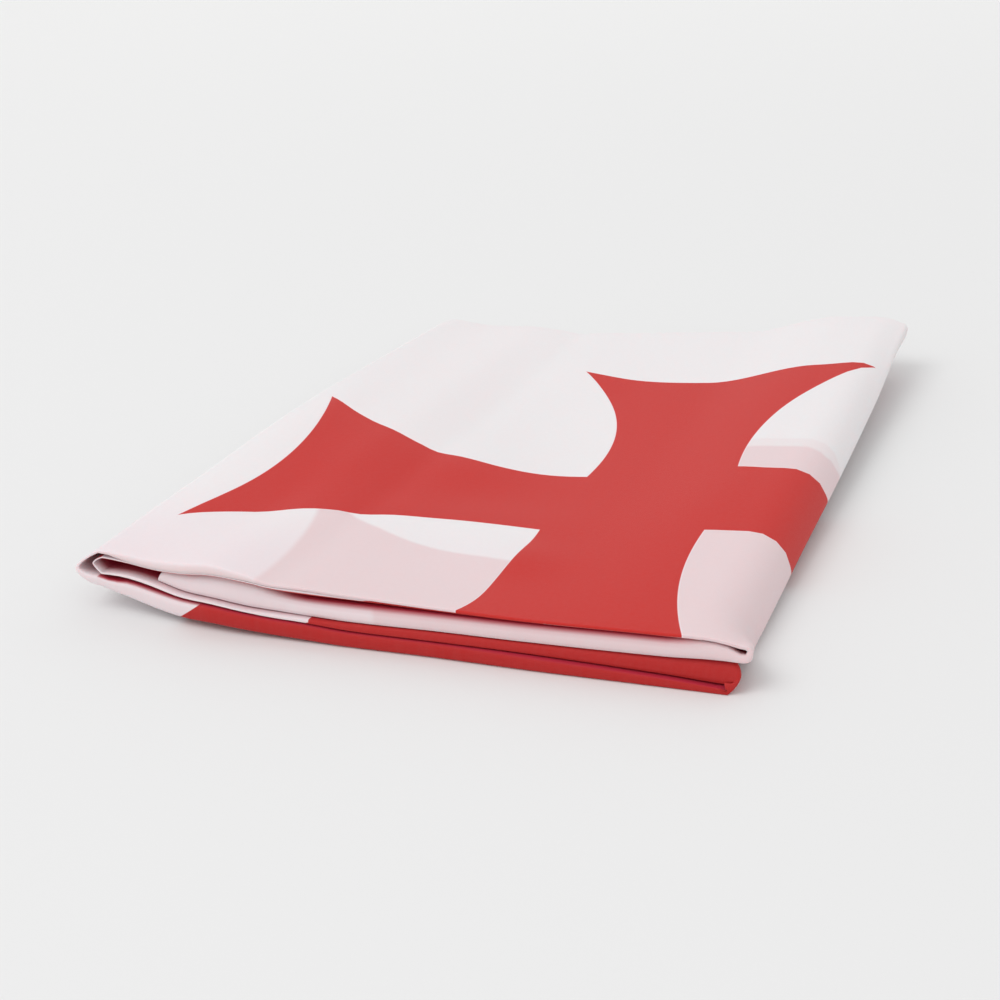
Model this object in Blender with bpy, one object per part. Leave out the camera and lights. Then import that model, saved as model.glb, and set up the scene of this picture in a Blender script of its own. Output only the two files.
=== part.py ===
"""Outdoor flag, folded into a flat packet that lies on a surface.

One printed cloth, hems included, so it is one solid. The flag is folded lengthways into a strip first,
and the strip is then folded back and forth across itself. Each pass of that strip is a pressed bundle of
several thin layers, and is built here as one sheet with a rounded front and back, 1 to 3 mm thick.
Metres, +Z up. X runs along the packet's front edge and Y runs to its back.
The origin is at the middle of its underside.
"""

import math
from collections import namedtuple

import bmesh
import bpy
from mathutils import Vector

MM = 0.001

# The packet
FRONT = -98.0 * MM
BACK = 98.0 * MM
LEAN = 0.037                 # how far the sides lean to the right, as a share of the way back
AIR = 0.3 * MM               # least air between two passes
SHEET_MOST = 3.0 * MM
SIDE_ROWS = (24.0, 52.0, 90.0)   # degrees round the rolled front and back of a pass
INNER_ROWS = 12              # rows of points between them
FLAT_STEP = 8.5 * MM         # distance between points along a pass
FOLD_POINTS = 7              # points round a fold
FREE_END_POINTS = (0.06, 0.3, 0.65)   # where the rounded free end has its points, of its length

# The stack along the front edge, left to right, in mm. Lift is how far the lowest pass is off the surface,
# and air is the space between two passes. The other columns are the thickness of each pass, from the
# lowest up, and opening is the height of the space that the flap lies in.
Station = namedtuple("Station", "x lift air bottom lower flap opening tongue top")
STACK = [
    Station(-74, 6.0, 0.30, 1.2, 1.0, 1.2, 2.6, 1.0, 1.2),
    Station(-66, 4.6, 0.32, 2.0, 1.0, 1.6, 2.6, 1.0, 1.2),
    Station(-57, 2.6, 0.40, 2.8, 1.1, 2.2, 2.6, 1.0, 1.4),
    Station(-42, 0.6, 0.50, 3.0, 1.6, 3.0, 4.0, 1.0, 1.8),
    Station(-34, 0.1, 0.50, 3.0, 1.6, 3.0, 3.8, 1.0, 1.2),
    Station(-26, 0.0, 0.42, 3.0, 1.6, 3.0, 3.1, 1.0, 1.0),
    Station(-6, 0.0, 0.36, 2.7, 1.8, 2.8, 2.8, 1.0, 1.0),
    Station(24, 0.0, 0.30, 2.3, 2.2, 2.4, 2.4, 1.0, 1.0),
    Station(56, 0.0, 0.30, 1.5, 2.9, 2.5, 2.5, 1.0, 1.0),
    Station(70, 0.0, 0.30, 1.3, 2.6, 2.1, 2.1, 0.7, 1.0),
]
ORDER = ("bottom", "lower", "flap", "tongue", "top")

# Which way the strip runs on each pass, in half turns from +X. The last fold turns back.
HALF_TURNS = {"flap": 0, "top": 1, "bottom": 2, "lower": 3, "tongue": 2}

# How far the front and the back of each pass are set in from the packet's, in mm
Rim = namedtuple("Rim", "front back")
RIMS = {
    "bottom": Rim(-1.0, 6.0),
    "lower": Rim(0.4, 5.5),
    "flap": Rim(0.2, 2.0),
    "tongue": Rim(0.6, 1.5),
    "top": Rim(0.0, 0.0),
}

# The front left corner is set back, in mm: how far at most, where it starts and over what length
RECEDE = 4.0
RECEDE_START = -35.0
RECEDE_LENGTH = 36.0

# Where the passes turn, in mm: the middle of each fold, how far it reaches past it, and its thickness
Fold = namedtuple("Fold", "x reach thickness")
UPPER_RIGHT = Fold(66.6, 2.4, 1.1)
LOWER_RIGHT = Fold(62.6, 2.0, 1.8)
OUTER_LEFT = Fold(-68.4, 4.4, 1.2)
INNER_LEFT = Fold(-62.6, 3.4, 1.0)
TAPER = 9.0 * MM             # a pass thins to its fold over this length
FLAP_END = -54.5 * MM
TONGUE_END = 58.0 * MM
END_ROUND = 2.2 * MM         # length of a rounded free end

# The packet is pressed most in a hollow that runs from its middle to its back left, and its right side is
# slack towards the back. Shares of the thickness, and places and widths in mm.
PRESS = 0.50
PRESS_DEPTH = 0.75           # share of the way back where the pressing is full
HOLLOW_X = 4.0
HOLLOW_DRIFT = -40.0
HOLLOW_WIDTH = 40.0
HOLLOW_SPREAD = 20.0
SLACK = 0.48
SLACK_START = 20.0
SLACK_LENGTH = 46.0
CLOTH_RED = (0.60, 0.045, 0.035, 1.0)

# A place along the section gives the cloth's middle at any y. Its turn is the way the strip runs, in radians.
Point = namedtuple("Point", "x z thickness")
Place = namedtuple("Place", "point front back turn")


def soft(t):
    """A step from 0 to 1 with level ends."""
    t = min(max(t, 0.0), 1.0)
    return t * t * (3 - 2 * t)


def stack_value(column, x):
    """One column of the stack at a place along the front edge, in metres, on a smooth curve."""
    last = len(STACK) - 1
    place = min(max(x / MM, STACK[0].x), STACK[last].x)
    k = max(i for i in range(last) if STACK[i].x <= place)
    near = [STACK[min(max(k + i, 0), last)] for i in (-1, 0, 1, 2)]
    xs = [station.x for station in near]
    values = [getattr(station, column) for station in near]
    length = xs[2] - xs[1]
    t = (place - xs[1]) / length
    slope0 = (values[2] - values[0]) / (xs[2] - xs[0]) * length
    slope1 = (values[3] - values[1]) / (xs[3] - xs[1]) * length
    step = soft(t)
    bend = t * (1 - t) * ((1 - t) * slope0 - t * slope1)
    return (values[1] + (values[2] - values[1]) * step + bend) * MM


def depth(y):
    return min(max((y - FRONT) / (BACK - FRONT), 0.0), 1.0)


def press(x, y):
    """The share of the front's height that is left at a place."""
    far = depth(y)
    middle = HOLLOW_X + HOLLOW_DRIFT * far ** 3
    width = HOLLOW_WIDTH + HOLLOW_SPREAD * far ** 3
    hollow = PRESS * math.sin(math.pi / 2 * min(far / PRESS_DEPTH, 1.0))
    hollow *= math.exp(-((x / MM - middle) / width) ** 2)
    slack = SLACK * far * soft((x / MM - SLACK_START) / SLACK_LENGTH)
    return 1.0 - hollow + slack


def space(name, x, y):
    """Height of the space that a pass has; the tongue and the top are too thin to be pressed."""
    if name in ("tongue", "top"):
        return stack_value(name, x)
    return stack_value("opening" if name == "flap" else name, x) * press(x, y)


def air(x, y):
    return AIR + max(stack_value("air", x) - AIR, 0.0) * press(x, y)


def pass_thickness(name, x, y):
    """Thickness of a pass, which doesn't always fill its space."""
    if name in ("tongue", "top"):
        return stack_value(name, x)
    return min(stack_value(name, x) * press(x, y), space(name, x, y), SHEET_MOST)


def pass_height(name, x, y):
    """Height of the middle of a pass, in the middle of its space; the flap lies on the pass under it."""
    height = max(stack_value("lift", x), 0.0) * press(x, y)
    for lower in ORDER[:ORDER.index(name)]:
        height += space(lower, x, y) + air(x, y)
    if name in ("flap", "bottom"):
        return height + pass_thickness(name, x, y) / 2
    return height + space(name, x, y) / 2


def recede(x):
    return RECEDE * MM * soft((RECEDE_START - x / MM) / RECEDE_LENGTH)


def on_pass(name, x, ends):
    """A place on a pass. Ends holds the fold, or None for a free end, and how far away each end is."""
    def point(y):
        thickness = pass_thickness(name, x, y)
        for fold, distance in ends:
            if fold is None:
                rise = 1 - min(distance / END_ROUND, 1.0)
                thickness *= math.sqrt(1 - rise * rise)
            else:
                slim = min(fold.thickness * MM, thickness)
                thickness = slim + (thickness - slim) * soft(distance / TAPER)
        return Point(x, pass_height(name, x, y), thickness)
    front = FRONT + RIMS[name].front * MM + recede(x)
    back = BACK - RIMS[name].back * MM
    return Place(point, front, back, HALF_TURNS[name] * math.pi)


def pass_places(name, start, end, fold_start=None, fold_end=None):
    """Places along one pass. It thins to a fold at an end that has one, and is rounded at a free end."""
    length = abs(end - start)
    steps = max(2, round(length / FLAT_STEP))
    shares = [i / steps for i in range(steps + 1)]
    if fold_start is None:
        shares = [END_ROUND * p / length for p in FREE_END_POINTS] + [END_ROUND / length] + shares[1:]
    if fold_end is None:
        tail = [1 - END_ROUND * p / length for p in reversed(FREE_END_POINTS)]
        shares = shares[:-1] + [1 - END_ROUND / length] + tail
    places = []
    for share in shares:
        x = start + (end - start) * share
        ends = ((fold_start, share * length), (fold_end, (1 - share) * length))
        places.append(on_pass(name, x, ends))
    return places


def fold_places(first, second, fold, side):
    """Places round the fold from the end of one pass to the start of the next; side is +1 at the right."""
    places = []
    for i in range(1, FOLD_POINTS + 1):
        angle = math.pi * i / (FOLD_POINTS + 1)
        share = (1 - math.cos(angle)) / 2

        def point(y, angle=angle, share=share):
            start, end = first.point(y), second.point(y)
            x = start.x + side * fold.reach * MM * math.sin(angle)
            return Point(x, start.z + (end.z - start.z) * share, min(start.thickness, end.thickness))
        front = first.front + (second.front - first.front) * share
        back = first.back + (second.back - first.back) * share
        turn = first.turn + (second.turn - first.turn) * i / (FOLD_POINTS + 1)
        places.append(Place(point, front, back, turn))
    return places


def section():
    """The whole back-and-forth section, from the flap's free end to the tongue's."""
    upper, lower = UPPER_RIGHT.x * MM, LOWER_RIGHT.x * MM
    outer, inner = OUTER_LEFT.x * MM, INNER_LEFT.x * MM
    flap = pass_places("flap", FLAP_END, upper, None, UPPER_RIGHT)
    top = pass_places("top", upper, outer, UPPER_RIGHT, OUTER_LEFT)
    bottom = pass_places("bottom", outer, lower, OUTER_LEFT, LOWER_RIGHT)
    under = pass_places("lower", lower, inner, LOWER_RIGHT, INNER_LEFT)
    tongue = pass_places("tongue", inner, TONGUE_END, INNER_LEFT, None)
    line = flap + fold_places(flap[-1], top[0], UPPER_RIGHT, 1)
    line += top + fold_places(top[-1], bottom[0], OUTER_LEFT, -1)
    line += bottom + fold_places(bottom[-1], under[0], LOWER_RIGHT, 1)
    line += under + fold_places(under[-1], tongue[0], INNER_LEFT, -1)
    return line + tongue


def rows(place):
    """How far back each row is, and the share of the thickness there: the ends are rolled round."""
    roll_front = place.point(place.front).thickness / 2
    roll_back = place.point(place.back).thickness / 2
    rolled = [(1 - math.cos(math.radians(a)), math.sin(math.radians(a))) for a in SIDE_ROWS]
    made = [(place.front + roll_front * inset, share) for inset, share in rolled]
    first, last = place.front + roll_front, place.back - roll_back
    for i in range(1, INNER_ROWS + 1):
        made.append((first + (last - first) * i / (INNER_ROWS + 1), 1.0))
    return made + [(place.back - roll_back * inset, share) for inset, share in reversed(rolled)]


def material(name, color, roughness):
    made = bpy.data.materials.new(name)
    made.use_nodes = True
    shader = made.node_tree.nodes["Principled BSDF"]
    shader.inputs["Base Color"].default_value = color
    shader.inputs["Roughness"].default_value = roughness
    shader.inputs["Metallic"].default_value = 0.0
    made.diffuse_color = color
    return made


def two_sides(place):
    """The cloth's points at a place: its first side from front to back, then its second from back to front."""
    across = Vector((-math.sin(place.turn), 0.0, math.cos(place.turn)))
    first, second = [], []
    for y, share in rows(place):
        point = place.point(y)
        middle = Vector((point.x + LEAN * y, y, point.z))
        half = across * (point.thickness * share / 2)
        first.append(middle + half)
        second.append(middle - half)
    return first + second[::-1]


def build_flag(collection):
    """The cloth's two sides are joined round their front and back rims, and across the two free ends."""
    cloth = bmesh.new()
    loops = [[cloth.verts.new(point) for point in two_sides(place)] for place in section()]
    count = len(loops[0])
    for loop, following in zip(loops, loops[1:]):
        for i in range(count):
            after = (i + 1) % count
            cloth.faces.new((loop[i], loop[after], following[after], following[i]))
    for end in (loops[0], loops[-1]):
        for i in range(count // 2 - 1):
            cloth.faces.new((end[i], end[i + 1], end[-2 - i], end[-1 - i]))
    bmesh.ops.recalc_face_normals(cloth, faces=cloth.faces)
    mesh = bpy.data.meshes.new("flag")
    cloth.to_mesh(mesh)
    cloth.free()
    mesh.shade_smooth()
    mesh.materials.append(material("printed cloth", CLOTH_RED, 0.7))
    flag = bpy.data.objects.new("flag", mesh)
    collection.objects.link(flag)
    return flag


def set_on_origin(flag):
    """Moves the flag so that the origin is at the middle of its underside."""
    corners = [Vector(corner) for corner in flag.bound_box]
    low = [min(corner[i] for corner in corners) for i in range(3)]
    high = [max(corner[i] for corner in corners) for i in range(3)]
    flag.location = (-(low[0] + high[0]) / 2, -(low[1] + high[1]) / 2, -low[2])


def main():
    for obj in list(bpy.data.objects):
        bpy.data.objects.remove(obj)
    collection = bpy.data.collections.new("folded outdoor flag")
    bpy.context.scene.collection.children.link(collection)
    set_on_origin(build_flag(collection))


main()
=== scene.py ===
# %% [markdown]
# A folded outdoor flag
#
# This lesson dresses one packed part: a printed cloth flag, folded into a flat packet. The packed model
# gives the packet's place and size. Here its plain solid is replaced by a finer sheet of cloth, with the
# same folds, and the sheet gets its print and its weave. All sizes are in metres, so MM turns the short
# numbers in millimetres into them.

# %% Load the packed model
import math
from collections import namedtuple

import bmesh
import bpy
import numpy as np
from mathutils import Matrix, Vector


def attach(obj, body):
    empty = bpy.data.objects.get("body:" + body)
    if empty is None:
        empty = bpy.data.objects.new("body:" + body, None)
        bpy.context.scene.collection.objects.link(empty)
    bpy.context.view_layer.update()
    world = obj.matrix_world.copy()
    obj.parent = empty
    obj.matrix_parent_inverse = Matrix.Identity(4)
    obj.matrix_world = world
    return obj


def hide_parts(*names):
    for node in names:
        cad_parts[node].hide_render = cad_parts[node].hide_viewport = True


MM = 0.001
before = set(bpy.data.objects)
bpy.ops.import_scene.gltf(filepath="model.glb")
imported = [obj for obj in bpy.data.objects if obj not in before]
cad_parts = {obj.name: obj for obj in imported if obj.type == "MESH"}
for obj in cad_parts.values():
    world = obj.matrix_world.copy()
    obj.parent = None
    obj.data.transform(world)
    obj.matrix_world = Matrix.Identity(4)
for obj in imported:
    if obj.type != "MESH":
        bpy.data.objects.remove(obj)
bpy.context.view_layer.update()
print("nodes in the packed model:", len(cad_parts))

# %% [markdown]
# The camera
#
# The camera stands low in front of the packet, a little to its right, and is turned slightly about its own
# line of sight. It comes first. Blender's camera looks along its own minus Z, so its three axes are worked
# out from where it stands and what it looks at.

# %% Put the camera where the packet was seen from
EYE = Vector((113.6, -356.2, 147.1)) * MM
AIM = Vector((0.63, -46.35, 12.0)) * MM
CAMERA_ROLL = math.radians(-2.98)
LENS = 58.98
NEAREST_SEEN = 10 * MM

def make_camera(eye, aim, roll, lens):
    back = (eye - aim).normalized()
    right = Vector((0, 0, 1)).cross(back).normalized()
    up = back.cross(right)
    turned = Matrix((right, up, back)).transposed() @ Matrix.Rotation(roll, 3, "Z")
    camera = bpy.data.objects.new("camera", bpy.data.cameras.new("camera"))
    camera.matrix_world = Matrix.Translation(eye) @ turned.to_4x4()
    camera.data.lens = lens
    camera.data.clip_start = NEAREST_SEEN
    bpy.context.scene.collection.objects.link(camera)
    return camera

bpy.context.scene.camera = make_camera(EYE, AIM, CAMERA_ROLL, LENS)
print("camera stands", round((EYE - AIM).length / MM), "mm from what it looks at")

# %% [markdown]
# The stack of passes
#
# The flag is first folded into a strip, and the strip is folded back and forth across itself. From the
# surface up, the five passes of the strip are the bottom, the lower, the flap, the tongue and the top. Each
# is a bundle of thin layers. A simulation could fold the cloth, but it wouldn't end in these very folds. So
# a table holds what a ruler would read along the packet's front edge, from left to right, in millimetres:
# how far the cloth is lifted off the surface, the thickness of each pass and the air under it.

# %% Sizes along the front edge
Station = namedtuple("Station", "x lift bottom air1 lower air2 flap air3 tongue air4 top")
STACK = [
    Station(-76, 6.7, 1.0, 0.2, 0.5, 0.4, 1.5, 0.2, 0.3, 0.0, 1.1),
    Station(-70, 5.4, 2.3, 0.3, 0.5, 0.4, 2.1, 0.2, 0.3, 0.0, 1.4),
    Station(-64, 3.7, 3.5, 0.7, 0.6, 0.3, 1.8, 0.2, 0.3, 0.0, 1.5),
    Station(-57, 2.2, 4.1, 0.8, 0.7, 0.2, 2.2, 0.2, 0.3, 0.0, 1.7),
    Station(-50, 1.4, 4.2, 0.5, 0.5, 0.2, 3.8, 0.3, 0.3, 0.0, 2.1),
    Station(-42, 1.4, 4.1, 0.4, 0.4, 0.1, 5.3, 0.2, 0.3, 0.0, 2.1),
    Station(-34, 1.0, 3.8, 0.3, 0.4, 0.1, 5.5, 0.2, 0.4, 0.1, 1.2),
    Station(-29, 0.7, 3.7, 0.2, 0.7, 0.1, 4.4, 0.7, 0.5, 0.1, 0.6),
    Station(-22, 0.4, 3.7, 0.2, 0.8, 0.1, 3.8, 1.0, 0.9, 0.1, 0.6),
    Station(-12, 0.0, 3.4, 0.2, 1.4, 0.1, 3.9, 0.9, 0.5, 0.1, 0.6),
    Station(4, 0.0, 3.3, 0.2, 1.8, 0.1, 3.7, 0.5, 0.3, 0.1, 0.6),
    Station(24, 0.0, 3.0, 0.2, 2.0, 0.1, 3.7, 0.3, 0.2, 0.0, 0.6),
    Station(51, 0.0, 2.0, 0.2, 3.2, 0.1, 3.7, 0.2, 0.2, 0.0, 0.6),
    Station(60, 0.0, 1.4, 0.2, 4.2, 0.2, 3.2, 0.1, 0.2, 0.1, 0.7),
    Station(68, 0.0, 0.9, 0.2, 4.6, 0.5, 1.4, 0.5, 0.1, 0.1, 0.9),
]
SINGLE = ("tongue", "top")       # these are too thin to be pressed thinner

def soft(t):
    """A step from 0 to 1 with level ends."""
    t = np.clip(t, 0.0, 1.0)
    return t * t * (3 - 2 * t)

def stack_at(x):
    """Every column of the stack at one place along the front edge, on a smooth curve, in metres."""
    last = len(STACK) - 1
    place = min(max(x / MM, STACK[0].x), STACK[last].x)
    k = max(i for i in range(last) if STACK[i].x <= place)
    before, start, end, after = (STACK[min(max(k + i, 0), last)] for i in (-1, 0, 1, 2))
    length = end.x - start.x
    t = (place - start.x) / length
    column = {}
    for name in Station._fields[1:]:
        v0, v1, v2, v3 = (getattr(station, name) for station in (before, start, end, after))
        slope0 = (v2 - v0) / (end.x - before.x) * length
        slope1 = (v3 - v1) / (after.x - start.x) * length
        curve = t * (1 - t) * ((1 - t) * slope0 - t * slope1)
        column[name] = max(v1 + (v2 - v1) * soft(t) + curve, 0.0) * MM
    return column

print("stack at the left and right, mm:", [round(sum(stack_at(x * MM).values()) / MM, 1) for x in (-42, 51)])

# %% [markdown]
# How the packet is pressed
#
# A folded flag is never even. This one is pressed into a hollow that runs from its middle to its back left,
# and its right side is slack towards the back. It is also puffed and dented in a few places. Soft formulas
# say how much of the front's height is left at any place, so the whole stack sinks or rises together and no
# layer cuts through another. Each puff is one row of a table.

# %% The hollow, the slack side and the set-back corner
FRONT = -98.0 * MM
BACK = 98.0 * MM
LEAN = 0.037                  # the sides lean to the right, by this share of the way back
PART_SHIFT = Vector((1.88, 0.49, 0.0)) * MM   # the packed part has its origin at the middle of its box
HOLLOW = 0.60                 # the share of the height that is gone where the hollow is deepest
HOLLOW_FULL = 0.60            # share of the way back where the hollow is full
HOLLOW_X = -4.3               # its middle at the front, and how far that has moved at the back, in mm
HOLLOW_DRIFT = -34.3
HOLLOW_WIDTH = 41.0           # its width at the front, and how much more it is at the back, in mm
HOLLOW_SPREAD = 11.0
HOLLOW_POWER = 3              # over 1: it moves and widens mostly near the back
SLACK = 0.50                  # how much higher the slack side stands at the back, as a share of the height
SLACK_POWER = 0.8             # under 1: most of it comes in the front half
SLACK_START = 21.5            # from here to the right, and over what length it comes, in mm
SLACK_LENGTH = 27.0
RECEDE = 4.0 * MM             # how far the front left corner is set back at most
RECEDE_START = -35.0          # from here to the left, and over what length, in mm
RECEDE_LENGTH = 36.0

# Puffed places, and dented ones below 0. Columns: the middle, the half length along X and along Y, all in
# mm, and the height as a share of the stack's
Puff = namedtuple("Puff", "x y along deep share")
PUFFS = [
    Puff(-62, -6, 11, 46, 0.25),      # the ridge along the open loops
    Puff(-60, -68, 9, 20, 0.12),
    Puff(-46, -58, 9, 24, -0.13),     # beside it
    Puff(-18, -14, 15, 17, 0.14),
    Puff(-6, -50, 20, 12, 0.08),
    Puff(-14, 62, 13, 20, 0.12),
    Puff(10, -68, 11, 9, 0.12),       # close behind the front edge
    Puff(45, -36, 11, 24, 0.05),
]

def kept_height(x, y):
    """The share of the front's height that is left at a place."""
    far = np.clip((y - FRONT) / (BACK - FRONT), 0.0, 1.0)
    middle = HOLLOW_X + HOLLOW_DRIFT * far ** HOLLOW_POWER
    width = HOLLOW_WIDTH + HOLLOW_SPREAD * far ** HOLLOW_POWER
    hollow = HOLLOW * np.sin(math.pi / 2 * np.minimum(far / HOLLOW_FULL, 1.0))
    hollow = hollow * np.exp(-((x / MM - middle) / width) ** 2)
    kept = 1.0 - hollow + SLACK * far ** SLACK_POWER * soft((x / MM - SLACK_START) / SLACK_LENGTH)
    for puff in PUFFS:
        away = ((x / MM - puff.x) / puff.along) ** 2 + ((y / MM - puff.y) / puff.deep) ** 2
        kept = kept + puff.share * np.exp(-away)
    return kept

def recede(x):
    """How far the front left corner is set back."""
    return RECEDE * soft((RECEDE_START - x / MM) / RECEDE_LENGTH)

def pressed(column, layer, kept):
    """The height of one layer of the stack where the packet keeps a share of its height."""
    return column[layer] * (1.0 if layer in SINGLE else kept)

def level(column, name, x, y):
    """Height of a pass's underside, and its thickness."""
    kept = kept_height(x, y)
    low = np.zeros_like(y)
    for layer in Station._fields[1:]:
        height = pressed(column, layer, kept)
        if layer == name:
            return low, height + np.zeros_like(y)
        low = low + height

print("height kept at the middle:", round(float(kept_height(0.0, np.array([0.0]))[0]), 2))

# %% [markdown]
# The drooping right side
#
# At the right the upper passes reach past the lower ones and droop over their ends, as a thick soft edge
# does. The top turns down there in a quarter of a circle. Only the front corner is pinched and stays up.
# Blender's Simple Deform modifier can bend a shape, but evenly, and here the bend has to grow from front to
# back. So it is worked out: each point keeps its distance from the top, and turns about a centre below it.
# The lower passes end further left where the droop takes their place.

# %% Bend the upper passes down
DROOP_RADIUS = 9.5 * MM
DROOP_START = 55.2 * MM
DROOP_DRIFT = 0.022              # the start moves right by this share of the way back
DROOP_FRONT = (-99.0, -82.0)     # in mm: pinched up before the first, and drooping fully after the second
DROOP_BACK = (40.0, 110.0)       # in mm: the droop eases from the first to the second
DROOP_BACK_KEPT = 0.25           # and this share of it would be left there
LEAST_DROOP = 0.001              # keeps the bend's radius finite where nothing droops
DROOP_STRETCH = 0.36             # the cloth is drawn a little round the bend where it droops fully
STRETCH_POWER = 3
TUCK = 10.0 * MM                 # how far the ends of the lower passes are tucked in
TUCK_START = 30.0 * MM
TUCK_LENGTH = 36.0 * MM
LOWER_GROUP = ("bottom", "bottom fold", "lower")

def droop(y):
    """How fully the right side droops at a place: 0 not at all, 1 a whole quarter turn."""
    at = y / MM
    grows = soft((at - DROOP_FRONT[0]) / (DROOP_FRONT[1] - DROOP_FRONT[0]))
    eases = soft((at - DROOP_BACK[0]) / (DROOP_BACK[1] - DROOP_BACK[0]))
    return grows * (1 - (1 - DROOP_BACK_KEPT) * eases)

def bend(name, points):
    """Moves a pass's points, which are unbent at first, to where the droop takes them."""
    x, y, z = points[..., 0], points[..., 1], points[..., 2]
    amount = np.maximum(droop(y), LEAST_DROOP)
    if name in LOWER_GROUP:
        x = x - TUCK * amount * soft((x - TUCK_START) / TUCK_LENGTH)
        return np.stack([x, y, z], axis=-1)
    start = DROOP_START + DROOP_DRIFT * (y - FRONT)
    column = stack_at(DROOP_START)
    kept = kept_height(DROOP_START, y)
    top = sum(pressed(column, layer, kept) for layer in column)
    radius = DROOP_RADIUS / amount
    past = np.maximum(x - start, 0.0) * (1 + DROOP_STRETCH * amount ** STRETCH_POWER)
    turn = past / radius
    reach = radius - (top - z)
    bent_x = start + reach * np.sin(turn)
    bent_z = top - radius + reach * np.cos(turn)
    drooping = x > start
    return np.stack([np.where(drooping, bent_x, x), y, np.where(drooping, bent_z, z)], axis=-1)

print("droop at the middle:", float(droop(np.array(0.0))))

# %% [markdown]
# The rims
#
# At the front and back each pass ends in a rounded rim, because a layer wraps round the others there. The
# rims aren't in line: the flap is set back at the left, so that the lower pass shows under it, and the
# bottom stands out at the right. A Bevel modifier could round them, but always evenly. Here each pass has
# its own rim, which can stand out most near its underside or near its top.

# %% Rims
# Columns: how far the front rim is set back at the left and at the right, and from which x it changes, then
# how far the back rim is set back, all in mm. The nose is where a rim stands out most, and its height at the
# left and at the right is a share of the thickness, as the roll is, which is how deep the rounding goes.
# Square says how boxy a rim is: 1 is round.
Rim = namedtuple("Rim", "left right start back nose_left nose_right roll square")
RIMS = {
    "bottom": Rim(-0.3, -0.9, 0, 6.0, 0.50, 0.40, 0.45, 0.6),
    "lower": Rim(0.2, 0.1, -30, 5.5, 0.30, 0.08, 0.60, 0.8),
    "flap": Rim(1.7, 0.6, -30, 2.0, 0.08, 0.08, 0.45, 0.8),
    "tongue": Rim(1.0, 1.3, -36, 1.5, 0.95, 0.90, 0.50, 1.0),
    "top": Rim(1.0, 1.0, -36, 0.0, 0.04, 0.30, 0.45, 0.6),
}
RIM_CHANGE = 30.0             # a rim changes from its left values to its right ones over this length, mm

def between(left, right, start, x):
    return left + (right - left) * float(soft((x / MM - start) / RIM_CHANGE))

print("rims:", ", ".join(RIMS))

# %% [markdown]
# The folds
#
# The bundle is squeezed where it turns, so the passes thin towards each fold, and each fold is a row of
# numbers. One place on a pass is then a small record: a function that gives the cloth's middle and its
# thickness at any distance back, and the values of its rims. It holds a function and not points, so that
# every place can have its own rows of points later, close together where its own rims are.

# %% Folds, and a place on a pass
# Which way the strip runs on each pass, in half turns from +X. The last fold turns back.
HALF_TURNS = {"flap": 0, "top": 1, "bottom": 2, "lower": 3, "tongue": 2}

# A fold's middle, how far it reaches, its thickness where it starts and ends, how late it changes to the
# second one (1 is evenly), how high its tip is, how round it is (2 is round), and over what length the
# passes thin to it
Fold = namedtuple("Fold", "x reach starts ends late tip round taper")
UPPER_RIGHT = Fold(65.0, 1.8, 1.7, 0.9, 1, 0.50, 3.4, 2.0)
LOWER_RIGHT = Fold(63.0, 1.2, 1.2, 4.3, 1, 0.85, 3.0, 3.0)
OUTER_LEFT = Fold(-70.0, 5.2, 0.5, 2.2, 3, 0.62, 1.6, 8.0)
INNER_LEFT = Fold(-69.3, 2.1, 0.4, 0.4, 1, 0.60, 1.4, 8.0)

# Where a pass thins to its fold it keeps its outer side: -1 is its underside and 1 its upper side, for the
# end of the pass that the strip comes to last and for the one that it comes to first
OUTER_SIDES = {"flap": (-1, -1), "top": (1, 1), "bottom": (-1, -1), "lower": (-1, 1), "tongue": (1, 1)}
FLAP_END = -56.0 * MM
TONGUE_END = 58.0 * MM
END_ROUND = 2.0 * MM
END_NOSE = 0.04               # the flap's free end is cut aslant, and stands out most at its underside

Place = namedtuple("Place", "cloth front back nose roll square turn name x")

def on_pass(name, x, ends):
    """A place on a pass. Ends holds the fold, or None for a free end, and how far away each end is."""
    column = stack_at(x)
    rim = RIMS[name]

    def cloth(y):
        low, thickness = level(column, name, x, y)
        middle = low + thickness / 2
        for end, outer_side, (fold, distance) in zip(("ends", "starts"), OUTER_SIDES[name][::-1], ends):
            if fold is None:
                rise = 1 - min(distance / END_ROUND, 1.0)
                share = math.sqrt(1 - rise * rise)
                middle = middle + (1 - share) * (END_NOSE - 0.5) * thickness
                thickness = thickness * share
            else:
                slim = np.minimum(getattr(fold, end) * MM, thickness)
                thinned = slim + (thickness - slim) * soft(distance / (fold.taper * MM))
                middle = middle + outer_side * (thickness - thinned) / 2
                thickness = thinned
        return np.full_like(y, x), middle, thickness

    front = FRONT + between(rim.left, rim.right, rim.start, x) * MM + float(recede(x))
    nose = between(rim.nose_left, rim.nose_right, rim.start, x)
    turn = HALF_TURNS[name] * math.pi
    return Place(cloth, front, BACK - rim.back * MM, nose, rim.roll, rim.square, turn, name, x)

print("the flap folds at", UPPER_RIGHT.x, "mm and is", UPPER_RIGHT.starts, "mm thick there")

# %% [markdown]
# Along the strip
#
# A pass is a row of places along X, closer together at a free end, which is rounded. A fold joins the ends
# of two passes. Its outline is a rounded one for the tight folds at the right, and a more pointed one for
# the open loops at the left, where the cloth keeps the crease of its first folding. A curve with a bevel
# could follow such a path too, but its thickness couldn't change from pass to pass so freely.

# %% Places along passes and round folds
PASS_STEP = 2.3 * MM
FREE_END_POINTS = (0.02, 0.12, 0.3, 0.55, 0.8)
FOLD_POINTS = 17

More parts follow.
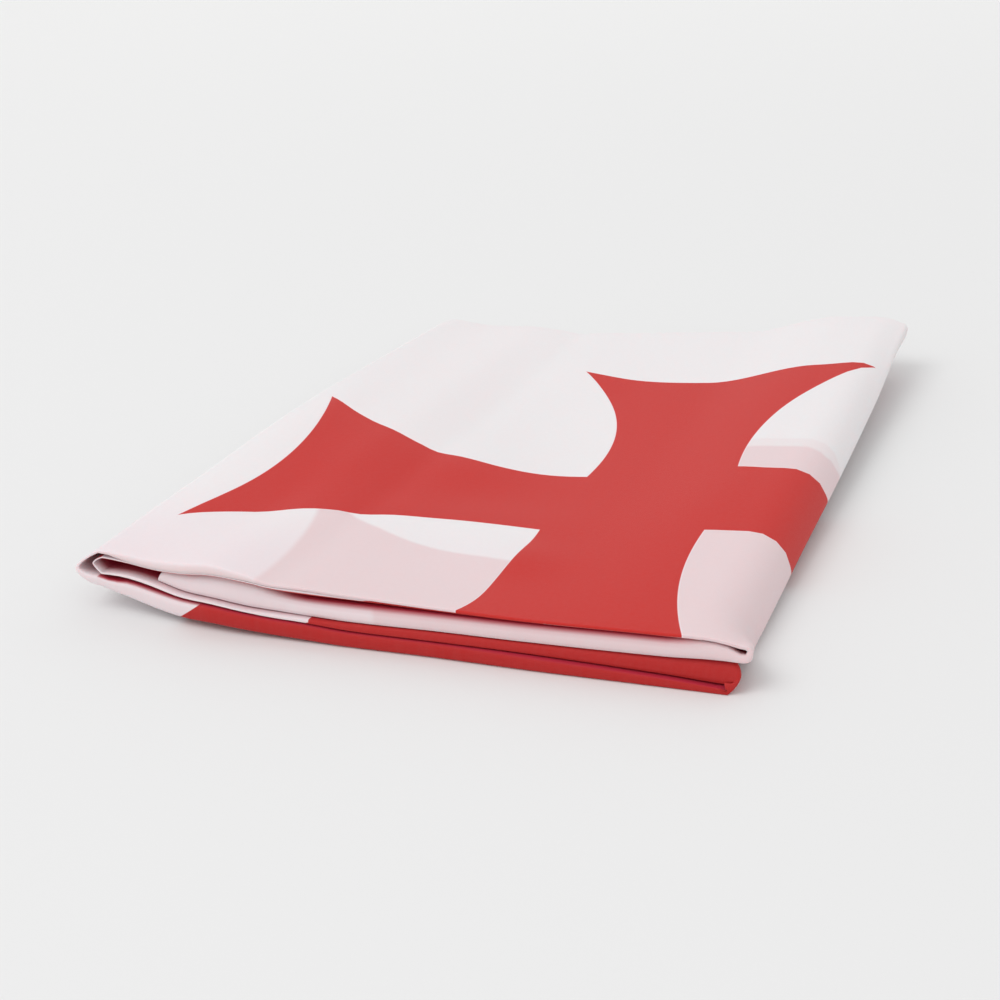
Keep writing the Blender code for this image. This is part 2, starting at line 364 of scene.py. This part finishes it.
def pass_places(name, start, end, fold_start=None, fold_end=None):
    length = abs(end - start)
    steps = round(length / PASS_STEP)
    shares = [i / steps for i in range(steps + 1)]
    rounded = [END_ROUND * point / length for point in FREE_END_POINTS] + [END_ROUND / length]
    if fold_start is None:
        shares = rounded + shares[1:]
    if fold_end is None:
        shares = shares[:-1] + [1 - share for share in reversed(rounded)]
    places = []
    for share in shares:
        ends = ((fold_start, share * length), (fold_end, (1 - share) * length))
        places.append(on_pass(name, start + (end - start) * share, ends))
    return places

def fold_places(first, second, fold, side):
    """Places round a fold; side is +1 at the right and -1 at the left."""
    places = []
    for i in range(1, FOLD_POINTS + 1):
        angle = math.pi * i / (FOLD_POINTS + 1)
        share = (1 - math.cos(angle)) / 2
        centred = share ** (math.log(0.5) / math.log(fold.tip))
        reach = (1 - abs(2 * centred - 1) ** fold.round) ** (1 / fold.round)

        def cloth(y, share=share, reach=reach):
            x0, z0, t0 = first.cloth(y)
            x1, z1, t1 = second.cloth(y)
            x = x0 + (x1 - x0) * share + side * fold.reach * MM * reach
            return x, z0 + (z1 - z0) * share, t0 + (t1 - t0) * share ** fold.late

        mixed = [a + (b - a) * share for a, b in zip(first[1:6], second[1:6])]
        turn = first.turn + (second.turn - first.turn) * i / (FOLD_POINTS + 1)
        places.append(Place(cloth, *mixed, turn, first.name + " fold", first.x))
    return places

def whole_strip():
    """Every place of the strip, from the flap's free end to the tongue's."""
    upper, lower = UPPER_RIGHT.x * MM, LOWER_RIGHT.x * MM
    outer, inner = OUTER_LEFT.x * MM, INNER_LEFT.x * MM
    flap = pass_places("flap", FLAP_END, upper, None, UPPER_RIGHT)
    top = pass_places("top", upper, outer, UPPER_RIGHT, OUTER_LEFT)
    bottom = pass_places("bottom", outer, lower, OUTER_LEFT, LOWER_RIGHT)
    under = pass_places("lower", lower, inner, LOWER_RIGHT, INNER_LEFT)
    tongue = pass_places("tongue", inner, TONGUE_END, INNER_LEFT, None)
    strip = flap + fold_places(flap[-1], top[0], UPPER_RIGHT, 1)
    strip += top + fold_places(top[-1], bottom[0], OUTER_LEFT, -1)
    strip += bottom + fold_places(bottom[-1], under[0], LOWER_RIGHT, 1)
    strip += under + fold_places(under[-1], tongue[0], INNER_LEFT, -1)
    return strip + tongue

strip = whole_strip()
print("places along the strip:", len(strip))

# %% [markdown]
# The cloth's middle and its two sides
#
# Each place is now followed from front to back. The rows are close together round the rims, where a few
# degrees matter, and wider apart in the middle. The result is a few grids of points and numbers: the cloth's
# middle and its two sides, how far each point is from the nearer rim, and how far round the rim it is.

# %% Rows from front to back
RIM_ANGLES = np.radians([8, 24, 40, 56, 73, 90])
INNER_ROWS = 74
ROWS_FORWARD = 0.5               # 0 spaces the rows evenly, and more brings them nearer the front

def rows(place):
    """How far back each row is, and the share of the thickness that is left there."""
    rims = np.array([place.front, place.back])
    roll = place.cloth(rims)[2] * place.roll
    inset, share = 1 - np.cos(RIM_ANGLES) ** place.square, np.sin(RIM_ANGLES) ** place.square
    first, last = place.front + roll[0], place.back - roll[1]
    steps = np.arange(1, INNER_ROWS + 1) / (INNER_ROWS + 1)
    inner = first + (last - first) * steps * (1 - ROWS_FORWARD + ROWS_FORWARD * steps)
    y = np.concatenate([place.front + roll[0] * inset, inner, place.back - roll[1] * inset[::-1]])
    return y, np.concatenate([share, np.ones(INNER_ROWS), share[::-1]])

def grids(strip):
    sides, depth, rim = ([], [], []), [], []
    for place in strip:
        y, share = rows(place)
        x, z, thickness = place.cloth(y)
        z = z + (1 - share) * (place.nose - 0.5) * thickness * abs(math.cos(place.turn))
        middle = np.stack([x, y, z], axis=1)
        across = np.array([-math.sin(place.turn), 0.0, math.cos(place.turn)])
        half = across * (thickness * share / 2)[:, None]
        for side, points in zip(sides, (middle, middle + half, middle - half)):
            side.append(bend(place.name, points))
        depth.append(np.minimum(y - place.front, place.back - y))
        rim.append(1 - share)
    return [lean(np.array(side)) for side in sides], np.array(depth), np.array(rim)

def lean(points):
    """Leans the packet's sides to the right and puts its origin where the packed part has it."""
    moved = points + np.array(PART_SHIFT)
    moved[..., 0] += LEAN * points[..., 1]
    return moved

(middle, first_side, second_side), depth, rim = grids(strip)
print("grid of points:", middle.shape[:2])

# %% [markdown]
# Where each point was on the flat cloth
#
# The print was made on flat cloth, so each point keeps two flat coordinates: how far it is along the strip,
# and how far across. They start at the centre of the cross on the top pass. A print drawn with them runs
# round the folds by itself, as ink on cloth does. Unwrapping the mesh would give such a map too, but here
# the lengths are known, so they are added up from place to place.

# %% Flat coordinates
CROSS_CENTRE = Vector((29.0, -33.0)) * MM
ASKEW = 3.5 * MM                 # the cloth, and its print, is pulled aside by this near the front
ASKEW_AT = (8.0, -94.0)          # in mm
ASKEW_SPREAD = 13.0

def flat_places(middle, strip):
    steps = np.linalg.norm(np.diff(middle, axis=0), axis=2)
    along = np.concatenate([np.zeros((1, middle.shape[1])), np.cumsum(steps, axis=0)])
    on_top = [i for i, place in enumerate(strip) if place.name == "top"]
    first, last = on_top[0], on_top[-1] + 1
    flat = np.zeros(middle.shape)
    for row in range(middle.shape[1]):
        x = middle[first:last, row, 0][::-1]
        centre = np.interp(CROSS_CENTRE.x, x, along[first:last, row][::-1])
        flat[:, row, 0] = centre - along[:, row]
    flat[:, :, 1] = middle[:, :, 1] - CROSS_CENTRE.y
    away = sum((middle[:, :, axis] / MM - ASKEW_AT[axis]) ** 2 for axis in (0, 1))
    flat[:, :, 0] -= ASKEW * np.exp(-away / ASKEW_SPREAD ** 2)
    return flat

flat = flat_places(middle, strip)

# %% [markdown]
# The red of the lower passes
#
# The lower passes show red where a larger cross, on deeper cloth, ends. So little of its outline shows that
# a straight line on each pass is enough. Each point keeps how far it is inside the red, as one number. A
# material turns that into a crisp edge, which is finer than the mesh, as no colour painted on points is.

# %% Where the lower passes are red
RED_PLACES = {"bottom": (-47.7, 400.0), "lower": (-20.5, 400.0), "tongue": (-7.5, 27.0)}   # from and to, mm
RED_ASLANT = 6.0 * MM            # the line on the bottom pass runs aslant over its front face
RED_UNDER = -72.0 * MM           # the sides that face each other in the slots are red from here on
UNDER_RIM = 0.45                 # and up to this share of the rim
RED_BACK = 20.0 * MM             # the red of the lower passes ends this far back
NO_RED = 200.0 * MM

def red_side(strip, middle, rim, side):
    """How far each point is inside its pass's red; side is +1 for the first side and -1 for the second."""
    inside = np.full(middle.shape[:2], -NO_RED)
    for i, place in enumerate(strip):
        name = place.name.split()[0]
        if name not in RED_PLACES:
            continue
        start, end = RED_PLACES[name]
        along = min(place.x - start * MM, end * MM - place.x)
        aslant = side * RED_ASLANT / 2 * (1 - rim[i]) if name == "bottom" else 0.0
        inside[i] = along - aslant
        if (name, side) in (("lower", 1), ("tongue", -1)):
            under = np.minimum(place.x - RED_UNDER, (UNDER_RIM - rim[i]) * MM)
            inside[i] = np.maximum(inside[i], under)
        inside[i] = np.minimum(inside[i], RED_BACK - middle[i, :, 1])
    return inside

first_red = red_side(strip, middle, rim, 1)
second_red = red_side(strip, middle, rim, -1)
print("share of the points that are red:", round(float(np.mean(first_red > 0)), 2))

# %% [markdown]
# The shade between passes
#
# In the narrow slots between passes the light has been thrown from red cloth to red cloth, so they are a
# deep red up to the rims. Light that bounces many times would do the same, but only slowly. Here each point
# keeps how deep in shade it is, from its distance to the rim, and the material paints that shade in deep red.
# The outer loop is wide open and gets more light, so its inside is paler. The rims keep a number too, for a
# painted shade: their tight turns face away from the light and catch light thrown from red cloth, so they
# look a little darker and pinker.

# %% Shade in the slots and painted shade on the rims
SHADE_START = 0.4 * MM
SHADE_DEPTH = 3.0 * MM
SLOT_CHANGE = 12.0               # mm along the front edge over which the shade of a slot begins or ends
OPEN_SHADE = 0.4
OTHER_RIMS = 0.5
RIM_SHADE_STRENGTH = {"top": 1.6}          # how strongly each rim gets its painted shade; the others as OTHER_RIMS

# The height on a rim where the shade starts, and from which x to which x it is there, in mm
SLOT_SHADE = {"flap": (0.60, -34.0, 50.0), "bottom": (0.72, -80.0, 80.0)}

# The places where the cloth's second side is the packet's outside, and so in no slot
OUTER_SECOND = ("flap fold", "top", "top fold", "bottom", "bottom fold")

def slot_shade(strip, depth, rim):
    """How deep in shade each point of the first side is."""
    shade = soft((depth - SHADE_START) / SHADE_DEPTH)
    for i, place in enumerate(strip):
        if place.name in SLOT_SHADE:
            height, from_x, to_x = SLOT_SHADE[place.name]
            begun = float(soft((place.x / MM - from_x) / SLOT_CHANGE))
            ended = float(soft((place.x / MM - to_x) / SLOT_CHANGE))
            on_rim = soft((1 - rim[i] - height) / (1 - height))
            shade[i] = np.maximum(shade[i], begun * (1 - ended) * on_rim)
    return shade

def both_shades(strip, depth, rim):
    """The shade on the first side of the cloth and on the second."""
    names = np.array([place.name for place in strip])[:, None]
    first = slot_shade(strip, depth, rim)
    second = soft((depth - SHADE_START) / SHADE_DEPTH)
    in_open_loop = names == "top fold"
    outside = np.isin(names, OUTER_SECOND)
    return np.where(in_open_loop, OPEN_SHADE, 1.0) * first, np.where(outside, 0.0, second)

# painted shade on the rims: the share of the darker pink at each point
def painted_rim_shade(strip, rim):
    strength = np.array([RIM_SHADE_STRENGTH.get(place.name, OTHER_RIMS) for place in strip])
    return np.minimum(rim * strength[:, None], 1.0)

first_shade, second_shade = both_shades(strip, depth, rim)
rim_shade = painted_rim_shade(strip, rim)
print("mean shade on the two sides:", *(round(float(side.mean()), 2) for side in (first_shade, second_shade)))

# %% [markdown]
# The sheet
#
# The mesh is one closed skin: the cloth's first side from front to back, then its second side from back to
# front, for every place. A plain sheet with a Solidify modifier would be shorter to make, but it would have
# one thickness all over. With bmesh each face is known, and the numbers from above go along as attributes,
# which a material can read.

# %% Build the flag
def skin(first, second):
    """Rings round the cloth: along its first side, and back along its second."""
    return np.concatenate([first, second[:, ::-1]], axis=1)

def cloth_mesh(name, rings):
    cloth = bmesh.new()
    loops = [[cloth.verts.new(point) for point in ring] for ring in rings]
    count = rings.shape[1]
    for loop, following in zip(loops, loops[1:]):
        for i in range(count):
            after = (i + 1) % count
            cloth.faces.new((loop[i], loop[after], following[after], following[i]))
    for end in (loops[0], loops[-1]):
        for i in range(count // 2 - 1):
            cloth.faces.new((end[i], end[i + 1], end[-2 - i], end[-1 - i]))
    bmesh.ops.recalc_face_normals(cloth, faces=cloth.faces)
    mesh = bpy.data.meshes.new(name)
    cloth.to_mesh(mesh)
    cloth.free()
    mesh.shade_smooth()
    return mesh

def add_attribute(mesh, name, kind, values):
    made = mesh.attributes.new(name, kind, "POINT")
    field = "vector" if kind == "FLOAT_VECTOR" else "value"
    made.data.foreach_set(field, np.ravel(values).astype(np.float32))

def place_in_scene(name, data):
    made = bpy.data.objects.new(name, data)
    bpy.context.scene.collection.objects.link(made)
    return made

cloth = cloth_mesh("flag_cloth", skin(first_side, second_side))
add_attribute(cloth, "flat_place", "FLOAT_VECTOR", skin(flat, flat))
add_attribute(cloth, "red_side", "FLOAT", skin(first_red, second_red))
# how deep each point lies in the painted shade of the slots
add_attribute(cloth, "between", "FLOAT", skin(first_shade, second_shade))
# the painted shade on the rims
add_attribute(cloth, "rim", "FLOAT", skin(rim_shade, rim_shade))
flag = place_in_scene("flag_cloth", cloth)
print("faces in the sheet:", len(cloth.polygons))

# %% [markdown]
# Small helpers for materials
#
# A material is a graph of nodes. It could be drawn in the shader editor, but a script can be read and run
# again. These helpers make a node, link it and keep the graph readable: a sum is one call, as it is in
# arithmetic.

# %% Node helpers
class Graph:
    """A node tree with short calls for the nodes that this lesson uses."""

    def __init__(self, tree):
        self.tree = tree

    def node(self, kind, **settings):
        made = self.tree.nodes.new(kind)
        for name, value in settings.items():
            setattr(made, name, value)
        return made

    def put(self, socket, value):
        if isinstance(value, bpy.types.NodeSocket):
            self.tree.links.new(value, socket)
        else:
            socket.default_value = value

    def math(self, operation, *values):
        made = self.node("ShaderNodeMath", operation=operation)
        for socket, value in zip(made.inputs, values):
            self.put(socket, value)
        return made.outputs[0]

    def split(self, vector):
        """The three numbers of a vector."""
        made = self.node("ShaderNodeSeparateXYZ")
        self.put(made.inputs[0], vector)
        return made.outputs

    def ramp(self, value, low, high):
        """A soft step from 0 at low to 1 at high."""
        made = self.node("ShaderNodeMapRange", interpolation_type="SMOOTHSTEP")
        for name, given in (("Value", value), ("From Min", low), ("From Max", high)):
            self.put(made.inputs[name], given)
        return made.outputs["Result"]

    def mix(self, share, a, b):
        """Two colours mixed. The node has sockets for every kind of value: 6, 7 and 2 are for colours."""
        made = self.node("ShaderNodeMix", data_type="RGBA")
        self.put(made.inputs["Factor"], share)
        self.put(made.inputs[6], a)
        self.put(made.inputs[7], b)
        return made.outputs[2]

def set_values(node, values):
    """Sets a node's own sockets, by their names."""
    for name, value in values.items():
        node.inputs[name].default_value = value

print("a graph can:", ", ".join(name for name in vars(Graph) if not name.startswith("_")))

# %% [markdown]
# Node groups
#
# An effect such as a weave is a group: a small graph of its own, with named inputs and outputs, which can be
# placed in any material and more than once in the same one. The two helpers make a group and place it. A
# socket name with a space in it is written with an underscore in a call.

# %% Group helpers
def new_group(name, inputs, outputs):
    """An empty node group. Inputs holds names, socket kinds and values, and outputs names and kinds."""
    tree = bpy.data.node_groups.new(name, "ShaderNodeTree")
    for label, kind, value in inputs:
        socket = tree.interface.new_socket(label, in_out="INPUT", socket_type=kind)
        if value is not None:
            socket.default_value = value
    for label, kind in outputs:
        tree.interface.new_socket(label, in_out="OUTPUT", socket_type=kind)
    graph = Graph(tree)
    return graph, graph.node("NodeGroupInput"), graph.node("NodeGroupOutput")

def use_group(graph, tree, **values):
    made = graph.node("ShaderNodeGroup", node_tree=tree)
    for name, value in values.items():
        graph.put(made.inputs[name.replace("_", " ")], value)
    return made

print("node groups so far:", len(bpy.data.node_groups))

# %% [markdown]
# The printed cross
#
# The cross has four arms that are narrow at the middle and widen in a curve to hollowed ends. A picture of
# it could be laid on the cloth, but a formula stays sharp at any size. One formula draws all four arms: the
# larger of the two distances from the centre is the way along an arm, and the smaller one is the way across
# it. The distance to the nearest edge then gives the ink. The group is used once for the print on top, and
# again for the cross on a deeper layer that shows through the thin cloth.

# %% Cross group
ARM = 93.2 * MM
ARM_END = 39.9 * MM              # half of an arm's width at its end
END_HOLLOW = 6.8 * MM
BAR = 18.0 * MM                  # half of an arm's width at the middle
SIDE_PULL = -6.8 * MM            # how the sides start out: inwards, before they curve out
SIDE_POWER = 2.16

def cross_group():
    graph, given, result = new_group(
        "Cross shape",
        [("Place", "NodeSocketVector", None), ("Along", "NodeSocketFloat", 0.0),
         ("Across", "NodeSocketFloat", 0.0), ("Blur", "NodeSocketFloat", 0.1 * MM)],
        [("Ink", "NodeSocketFloat"), ("Edge", "NodeSocketFloat")],
    )
    along, across = graph.split(given.outputs["Place"])[:2]
    u = graph.math("ABSOLUTE", graph.math("SUBTRACT", along, given.outputs["Along"]))
    v = graph.math("ABSOLUTE", graph.math("SUBTRACT", across, given.outputs["Across"]))
    way = graph.math("MAXIMUM", u, v)
    off = graph.math("MINIMUM", u, v)
    share = graph.math("MAXIMUM", graph.math("DIVIDE", graph.math("SUBTRACT", way, BAR), ARM - BAR), 0.0)
    flare = graph.math("MULTIPLY", graph.math("POWER", share, SIDE_POWER), ARM_END - BAR - SIDE_PULL)
    side = graph.math("ADD", graph.math("MULTIPLY_ADD", share, SIDE_PULL, BAR), flare)
    bulge = graph.math("POWER", graph.math("DIVIDE", off, ARM_END), 2.0)
    end = graph.math("MULTIPLY_ADD", bulge, END_HOLLOW, ARM - END_HOLLOW)
    inside = graph.math("MINIMUM", graph.math("SUBTRACT", side, off), graph.math("SUBTRACT", end, way))
    blur = given.outputs["Blur"]
    graph.put(result.inputs["Ink"], graph.ramp(inside, graph.math("MULTIPLY", blur, -1.0), blur))
    graph.put(result.inputs["Edge"], inside)
    return graph.tree

CROSS = cross_group()
print("cross, mm across:", round(2 * ARM / MM))

# %% [markdown]
# Soft patches
#
# Where the layers under the top end, the white changes its shade along a soft straight line. Shells of cloth
# under the sheet could do that, but light through thin shells is slow and noisy. A patch of colour is
# enough: a rectangle with rounded corners on the flat cloth. The distance outside it is found for each
# direction, and the two are put together as in a right triangle.

# %% Patch group
def patch_group():
    graph, given, result = new_group(
        "Soft patch",
        [("Place", "NodeSocketVector", None), ("Along", "NodeSocketFloat", 0.0),
         ("Across", "NodeSocketFloat", 0.0), ("Half along", "NodeSocketFloat", 10 * MM),
         ("Half across", "NodeSocketFloat", 10 * MM), ("Round", "NodeSocketFloat", 5 * MM),
         ("Blur", "NodeSocketFloat", 1 * MM)],
        [("Share", "NodeSocketFloat")],
    )
    outside = []
    for value, way in zip(graph.split(given.outputs["Place"]), ("Along", "Across")):
        away = graph.math("ABSOLUTE", graph.math("SUBTRACT", value, given.outputs[way]))
        straight = graph.math("SUBTRACT", given.outputs["Half " + way.lower()], given.outputs["Round"])
        outside.append(graph.math("MAXIMUM", graph.math("SUBTRACT", away, straight), 0.0))
    squares = [graph.math("MULTIPLY", past, past) for past in outside]
    distance = graph.math("SQRT", graph.math("ADD", *squares))
    inside = graph.math("SUBTRACT", given.outputs["Round"], distance)
    blur = given.outputs["Blur"]
    graph.put(result.inputs["Share"], graph.ramp(inside, graph.math("MULTIPLY", blur, -1.0), blur))
    return graph.tree

PATCH = patch_group()
print("inputs of a patch:", [item.name for item in PATCH.interface.items_tree if item.in_out == "INPUT"])

# %% [markdown]
# The weave
#
# Flag cloth is a plain weave of thin, bright threads. Threads made as shapes would be millions of faces, and
# at this distance a thread is hardly wider than a pixel. So the weave is a very fine bump and a slight
# change of shade, drawn from the flat coordinates, and it turns with the cloth at every fold.

# %% Weave group
THREAD = 0.28 * MM
THREAD_NOISE = 900.0             # how fine the uneven shade of the threads is
WEAVE_IN_SHADE = 0.25

def weave_group():
    graph, given, result = new_group(
        "Plain weave",
        [("Place", "NodeSocketVector", None), ("Pitch", "NodeSocketFloat", THREAD)],
        [("Height", "NodeSocketFloat"), ("Shade", "NodeSocketFloat")],
    )
    along, across = graph.split(given.outputs["Place"])[:2]
    turns = graph.math("DIVIDE", 2 * math.pi, given.outputs["Pitch"])
    warp = graph.math("SINE", graph.math("MULTIPLY", along, turns))
    weft = graph.math("SINE", graph.math("MULTIPLY", across, turns))
    height = graph.math("MULTIPLY", warp, weft)
    noise = graph.node("ShaderNodeTexNoise")
    graph.put(noise.inputs["Vector"], given.outputs["Place"])
    graph.put(noise.inputs["Scale"], THREAD_NOISE)
    graph.put(result.inputs["Height"], height)
    graph.put(result.inputs["Shade"], graph.math("MULTIPLY_ADD", height, WEAVE_IN_SHADE, noise.outputs[0]))
    return graph.tree

WEAVE = weave_group()
print("threads in a centimetre:", round(2 * 10 * MM / THREAD))

# %% [markdown]
# The white cloth
#
# White cloth is not quite white. Where red print lies under it, the thin layer turns pink. A deeper cross
# shows through softly, two patches mark where the layers below end, and the rims get a painted shade, a
# little darker and pinker. Light that really went through the layers would need all of them built. A mix of
# two or three near-white colours, each with its own mask, gives the same look and is easy to set.

# %% Colours of the bare cloth
WHITE = (0.840, 0.800, 0.810, 1.0)
FRONT_WHITE = (0.830, 0.735, 0.760, 1.0)     # the white of the lowest layers shows nearer the front
PINK = (0.785, 0.625, 0.640, 1.0)
# painted shade on the rims, which face away from the light
RIM_SHADE_PINK = (0.800, 0.650, 0.655, 1.0)
FRONT_CHANGE = (15 * MM, 60 * MM)            # how far in front of the cross's centre the white changes
GHOST = dict(Along=24.0 * MM, Across=-56.5 * MM, Blur=0.8 * MM)
CORNER = dict(Along=21 * MM, Across=-15.5 * MM, Half_along=21 * MM, Half_across=46.5 * MM, Round=10 * MM)
STEP = dict(Along=21 * MM, Across=-12 * MM, Half_along=23 * MM, Half_across=48 * MM, Round=10 * MM)
PATCH_BLUR = 0.9 * MM
STEP_SHARE = 0.3

def bare_cloth(graph, place, rim):
    """The colour of the cloth where it has no print, with painted shade on its rims."""
    to_front = graph.math("MULTIPLY", graph.split(place)[1], -1.0)
    white = graph.mix(graph.ramp(to_front, *FRONT_CHANGE), WHITE, FRONT_WHITE)
    # painted shade on the rims
    rim_shaded = graph.mix(rim, white, RIM_SHADE_PINK)
    step = use_group(graph, PATCH, Place=place, Blur=PATCH_BLUR, **STEP)
    stepped = graph.mix(graph.math("MULTIPLY", step.outputs["Share"], STEP_SHARE), rim_shaded, PINK)
    ghost = use_group(graph, CROSS, Place=place, **GHOST)
    corner = use_group(graph, PATCH, Place=place, Blur=PATCH_BLUR, **CORNER)
    return graph.mix(graph.math("MAXIMUM", ghost.outputs["Ink"], corner.outputs["Share"]), stepped, PINK)

print("whites, red and green and blue:", WHITE[:3], FRONT_WHITE[:3])

# %% [markdown]
# The printed cloth
#
# One material covers the whole flag, because the flag is one cloth. The ink is laid over the white, with a
# thin line of bare bright thread along its edge. From the numbers that the points keep, the lower passes get
# a darker red, partly painted shade from the passes above, and the slots get a painted deep-red shade. A
# little light goes into the thin cloth and comes out beside, which softens its shadows, so the shader has
# some subsurface light and only a weak gloss.

# %% Printed cloth
HALO = (0.885, 0.750, 0.785, 1.0)            # the bare thread along the edge of the print
RED = (0.560, 0.027, 0.021, 1.0)
SHADED_LOWER_RED = (0.470, 0.020, 0.018, 1.0)       # darker: partly painted shade from the passes above, and no white lies behind it
# painted shade: the deep red of the slots between passes
PAINTED_SLOT_SHADE = (0.42, 0.02, 0.045, 1.0)
THREAD_SHADE = (0.50, 0.30, 0.32, 1.0)
THREAD_SHARE = 0.05
EDGE_BLUR = 0.10 * MM
HALO_WIDTH = 0.35 * MM
CLOTH_FINISH = {
    "Roughness": 0.55,
    "Specular IOR Level": 0.14,
    "Sheen Weight": 0.02,
    "Subsurface Weight": 0.30,
    "Subsurface Radius": (1.0, 0.45, 0.45),
    "Subsurface Scale": 1.0 * MM,
}
WEAVE_BUMP = {"Strength": 0.15, "Distance": 0.05 * MM}

def printed_cloth():
    material = bpy.data.materials.new("printed cloth")
    material.use_nodes = True
    graph = Graph(material.node_tree)
    shader = material.node_tree.nodes["Principled BSDF"]

    def kept(name, output="Fac"):
        return graph.node("ShaderNodeAttribute", attribute_name=name).outputs[output]

    place = kept("flat_place", "Vector")
    ink = use_group(graph, CROSS, Place=place, Blur=EDGE_BLUR)
    weave = use_group(graph, WEAVE, Place=place)
    near_ink = graph.ramp(ink.outputs["Edge"], -HALO_WIDTH, 0.0)
    in_lower_red = graph.ramp(kept("red_side"), -EDGE_BLUR, EDGE_BLUR)
    colour = graph.mix(near_ink, bare_cloth(graph, place, kept("rim")), HALO)
    colour = graph.mix(ink.outputs["Ink"], colour, RED)
    colour = graph.mix(in_lower_red, colour, SHADED_LOWER_RED)
    colour = graph.mix(graph.math("MULTIPLY", weave.outputs["Shade"], THREAD_SHARE), colour, THREAD_SHADE)
    # painted shade: the slots turn deep red by how deep in shade each point is
    graph.put(shader.inputs["Base Color"], graph.mix(kept("between"), colour, PAINTED_SLOT_SHADE))
    set_values(shader, CLOTH_FINISH)
    bump = graph.node("ShaderNodeBump")
    set_values(bump, WEAVE_BUMP)
    graph.put(bump.inputs["Height"], weave.outputs["Height"])
    graph.put(shader.inputs["Normal"], bump.outputs["Normal"])
    return material

flag.data.materials.append(printed_cloth())
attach(flag, "root")
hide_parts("flag")
print("materials on the flag:", [material.name for material in flag.data.materials])

# %% [markdown] Say what the cloth is  A sheet of cloth keeps its area when it is folded. The real flag is
# about ten times as large as this strip, because each pass stands for a bundle of its layers: to build every
# layer would add nothing that shows.

# %% [markdown]
# Floor
#
# The packet lies on a pale, plain surface that goes far past the picture. It is a little paler in the
# distance, as a studio's paper is where it catches the light from behind. A second lamp could do that, but
# it would also light the cloth, so the floor's colour is a soft ramp along its own length.

# %% Floor
FLOOR_HALF = 6.0
FLOOR_RAMP = (-0.2, 1.6)
NEAR_FLOOR = (0.800, 0.800, 0.800, 1.0)
FAR_FLOOR = (0.950, 0.950, 0.945, 1.0)
FLOOR_FINISH = {"Roughness": 0.7, "Specular IOR Level": 0.4}

def floor_material():
    material = bpy.data.materials.new("pale floor")
    material.use_nodes = True
    graph = Graph(material.node_tree)
    shader = material.node_tree.nodes["Principled BSDF"]
    place = graph.node("ShaderNodeTexCoord").outputs["Object"]
    far = graph.ramp(graph.split(place)[1], *FLOOR_RAMP)
    graph.put(shader.inputs["Base Color"], graph.mix(far, NEAR_FLOOR, FAR_FLOOR))
    set_values(shader, FLOOR_FINISH)
    return material

def make_floor():
    mesh = bpy.data.meshes.new("floor")
    corners = [(x * FLOOR_HALF, y * FLOOR_HALF, 0) for x, y in ((-1, -1), (1, -1), (1, 1), (-1, 1))]
    mesh.from_pydata(corners, [], [(0, 1, 2, 3)])
    mesh.materials.append(floor_material())
    return place_in_scene("floor", mesh)

make_floor()
print("floor, metres across:", 2 * FLOOR_HALF)

# %% [markdown]
# Light
#
# The light comes from everywhere, as in a white tent, and a little more from a large soft lamp at the front
# left. So the shadows are pale and short. A single small lamp would draw a hard dark shadow instead. The
# standard view keeps the whites as they are, where a filmic one would make them grey.

# %% Light
LAMP_PLACE = Vector((-1.0, -1.0, 1.9))
LAMP_SIZE = 1.6
LAMP_WATTS = 16.0
TENT_COLOUR = (1.0, 1.0, 1.0, 1.0)
TENT_STRENGTH = 0.835

def soft_lamp(place, size, watts):
    """A round lamp that looks at the packet."""
    light = bpy.data.lights.new("soft light", "AREA")
    light.shape = "DISK"
    light.size = size
    light.energy = watts
    lamp = place_in_scene("soft light", light)
    lamp.location = place
    lamp.rotation_mode = "QUATERNION"
    lamp.rotation_quaternion = place.to_track_quat("Z", "Y")
    return lamp

def white_tent(colour, strength):
    world = bpy.data.worlds.new("studio")
    world.use_nodes = True
    set_values(world.node_tree.nodes["Background"], {"Color": colour, "Strength": strength})
    return world

lamp = soft_lamp(LAMP_PLACE, LAMP_SIZE, LAMP_WATTS)
bpy.context.scene.world = white_tent(TENT_COLOUR, TENT_STRENGTH)
bpy.context.scene.view_settings.view_transform = "Standard"
print("lamp, watts:", lamp.data.energy)

# %% [markdown]
